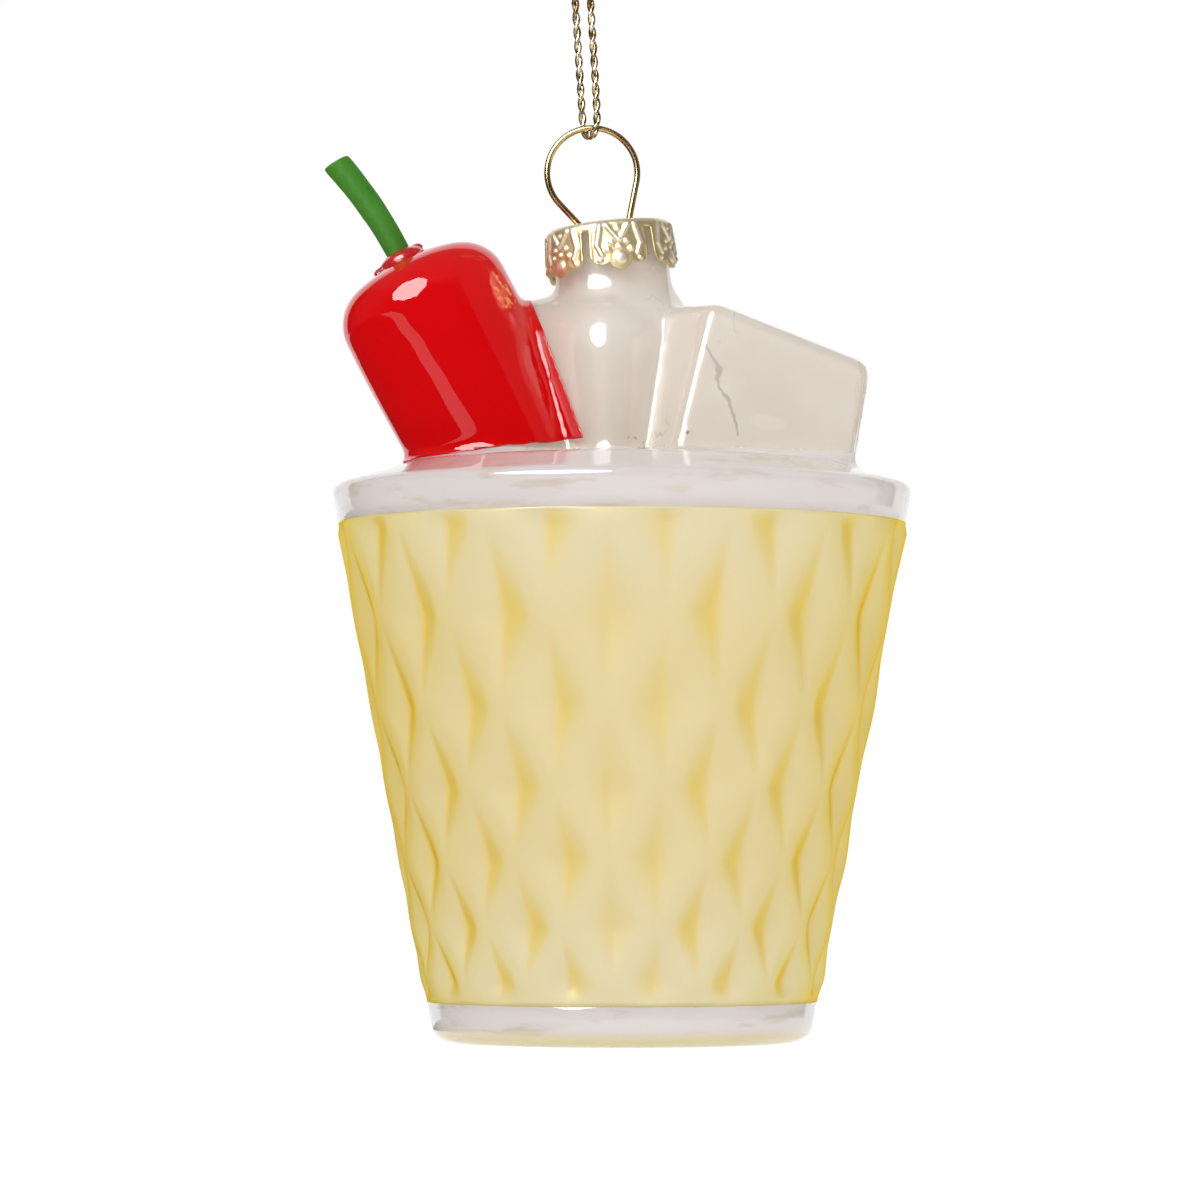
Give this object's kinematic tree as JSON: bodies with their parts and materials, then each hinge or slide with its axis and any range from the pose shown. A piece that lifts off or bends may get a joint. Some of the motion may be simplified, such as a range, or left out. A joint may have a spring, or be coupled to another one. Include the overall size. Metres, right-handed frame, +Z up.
{
  "type": "glass tree ornament",
  "caption": "Hanging blown-glass ornament: a diamond-cut tumbler with ice lumps and a leaning chili garnish, under a crown cap, wire ring and cord loop.",
  "frame": {"origin": "inside top of the cord loop, under its knot, where a hook or branch holds the ornament", "axes": "+Z up along the tumbler's axis, -Y to the front, +X to the right, away from the chili"},
  "size_m": [0.0735, 0.0722, 0.1707],
  "materials": {
    "clear_glass": "pearl-white inside the ice, clear at rim and foot",
    "frosted_yellow": "frosted lacquer",
    "gloss_red": "gloss lacquer",
    "stem_green": "matt",
    "glue_red": "gloss glue",
    "gold_cap": "bright stamped sheet",
    "bronze_wire": "bronzed spring wire",
    "gold_cord": "metallic yarn"
  },
  "bodies": {
    "cord": {"hanging_cord": "gold_cord", "cord_knot": "gold_cord"},
    "hanger": {"hanger_wire": "bronze_wire"},
    "cap": {"crown_cap": "gold_cap"},
    "glass": {"glass_body": "clear_glass", "yellow_lacquer": "frosted_yellow", "red_lacquer": "gloss_red", "chili_stem": "stem_green", "stem_glue": "glue_red"}
  },
  "joints": [
    {"name": "ring_swing", "type": "hinge", "parent": "cord", "child": "hanger", "pos_m": [0.0024, 0, -0.0456], "axis": [1, 0, 0], "range_deg": [-80, 80]},
    {"name": "hanger_turn", "type": "hinge", "parent": "hanger", "child": "cap", "pos_m": [0.00463, 0, -0.05798], "axis": [-0.1045, 0, 0.9945], "continuous": true},
    {"name": "cap_pull", "type": "slide", "parent": "cap", "child": "glass", "axis": [0.1045, 0, -0.9945], "range_m": [0, 0.02]}
  ]
}
